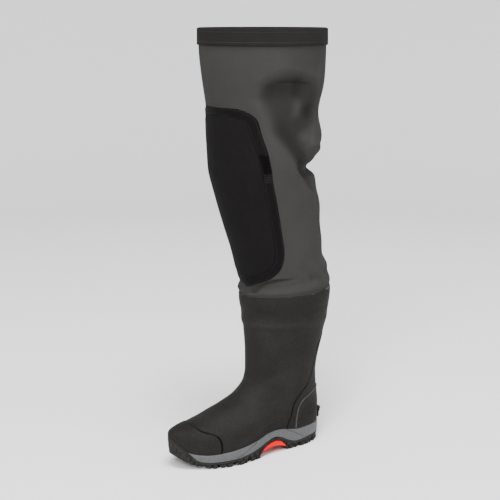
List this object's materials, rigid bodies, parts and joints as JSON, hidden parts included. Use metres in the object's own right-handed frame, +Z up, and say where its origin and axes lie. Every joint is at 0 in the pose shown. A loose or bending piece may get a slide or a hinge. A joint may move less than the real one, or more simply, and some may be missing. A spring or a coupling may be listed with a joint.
{
  "type": "neoprene wader leg with rubber boot",
  "caption": "Left leg of neoprene waders: hollow lugged rubber boot with a thigh length neoprene sleeve and a knee pad.",
  "frame": {"origin": "middle of the heel's tread, on the floor", "axes": "+Z up; the toe points along -X; the outer side of the left foot faces -Y"},
  "size_m": [0.3176, 0.2258, 0.733],
  "materials": {
    "outsole": "moulded black rubber, dull",
    "midsole": "foamed grey rubber, dull",
    "arch_plate": "moulded red, satin",
    "insole": "cloth covered foam",
    "upper": "hand laid dark grey rubber, satin",
    "toe_cap": "rubber, satin",
    "heel_counter": "rubber, satin",
    "kick_spur": "rubber, satin",
    "leg": "knit faced neoprene",
    "thigh_hem": "woven binding",
    "knee_pad": "rubberised knit over foam",
    "knee_pad_tape": "bonded tape",
    "pocket_closure": "ribbed rubber patch"
  },
  "bodies": {
    "root": {"outsole": "outsole", "midsole": "midsole", "arch_plate": "arch_plate", "insole": "insole", "upper": "upper", "toe_cap": "toe_cap", "heel_counter": "heel_counter", "kick_spur": "kick_spur", "leg": "leg", "thigh_hem": "thigh_hem", "knee_pad": "knee_pad", "knee_pad_tape": "knee_pad_tape", "pocket_closure": "pocket_closure"}
  },
  "joints": []
}
